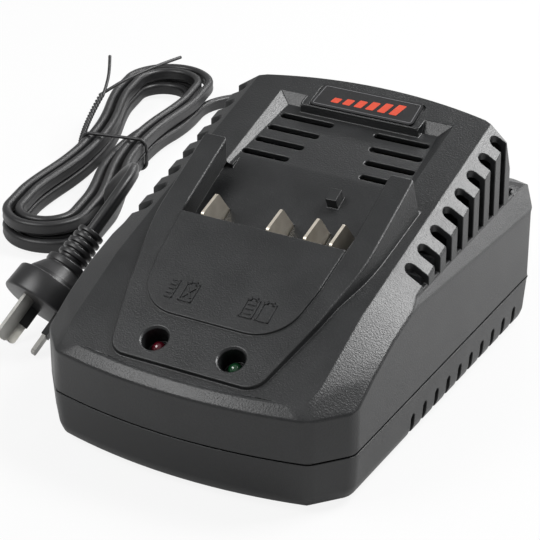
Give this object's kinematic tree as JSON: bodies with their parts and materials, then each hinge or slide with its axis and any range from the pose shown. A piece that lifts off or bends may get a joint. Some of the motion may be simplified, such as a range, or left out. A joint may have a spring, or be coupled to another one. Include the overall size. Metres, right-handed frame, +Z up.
{
  "type": "power tool battery charger",
  "caption": "Wedge-shaped desktop charger for sliding power tool battery packs, with bay and blade contacts, vented case and a tied mains cord with plug.",
  "frame": {"origin": "middle of the charger's footprint at table height, without the cord", "axes": "+Z up, +Y towards the high back of the charger, +X to its right seen from the front"},
  "size_m": [0.2705, 0.3306, 0.0954],
  "materials": {
    "case_abs": "moulded, fine spark texture",
    "tray_abs": "moulded, fine satin texture",
    "badge": "smooth printed plate",
    "zinc_steel": "zinc plated",
    "foot_rubber": "matt",
    "red_lens": "clear tinted epoxy",
    "green_lens": "clear tinted epoxy",
    "board_laminate": "solder mask",
    "contact_metal": "nickel plated",
    "black_nylon": "moulded",
    "ferrite": "ground ferrite",
    "coil_tape": "polyester tape",
    "can_sleeve": "shrink sleeve",
    "film_box": "moulded box",
    "chip_epoxy": "moulded epoxy",
    "fuse_case": "moulded",
    "sink_aluminium": "extruded",
    "lead_pvc": "extruded insulation",
    "cord_pvc": "extruded, semi-gloss",
    "plug_pvc": "moulded, satin",
    "pin_metal": "nickel plated",
    "sleeve_plastic": "moulded",
    "tie_pvc": "coated wire"
  },
  "bodies": {
    "root": {"upper_housing": "case_abs", "lower_housing": "tray_abs", "name_plate": "badge", "housing_screws": "zinc_steel", "rubber_feet": "foot_rubber", "red_led": "red_lens", "green_led": "green_lens", "led_board": "board_laminate", "contact_blade_left": "contact_metal", "contact_blade_middle": "contact_metal", "contact_blade_inner_right": "contact_metal", "contact_blade_right": "contact_metal", "contact_block": "black_nylon", "circuit_board": "board_laminate", "board_screws": "zinc_steel", "clamp_screws": "zinc_steel", "transformer_core": "ferrite", "transformer_winding": "coil_tape", "bulk_capacitor": "can_sleeve", "output_capacitors": "can_sleeve", "line_choke": "ferrite", "filter_capacitor": "film_box", "bridge_rectifier": "chip_epoxy", "fuse": "fuse_case", "heat_sink_primary": "sink_aluminium", "heat_sink_secondary": "sink_aluminium", "switching_transistor": "chip_epoxy", "output_rectifier": "chip_epoxy", "control_chip": "chip_epoxy", "optocoupler": "chip_epoxy", "contact_leads": "lead_pvc", "mains_leads": "lead_pvc", "cord_entry": "cord_pvc", "cord_clamp": "black_nylon", "cord_gland": "cord_pvc", "plug_body": "plug_pvc", "active_pin": "pin_metal", "neutral_pin": "pin_metal", "earth_pin": "pin_metal", "pin_sleeves": "sleeve_plastic", "cord_hank": "cord_pvc", "cord": "cord_pvc", "cord_tail": "cord_pvc", "twist_tie": "tie_pvc"}
  },
  "joints": []
}
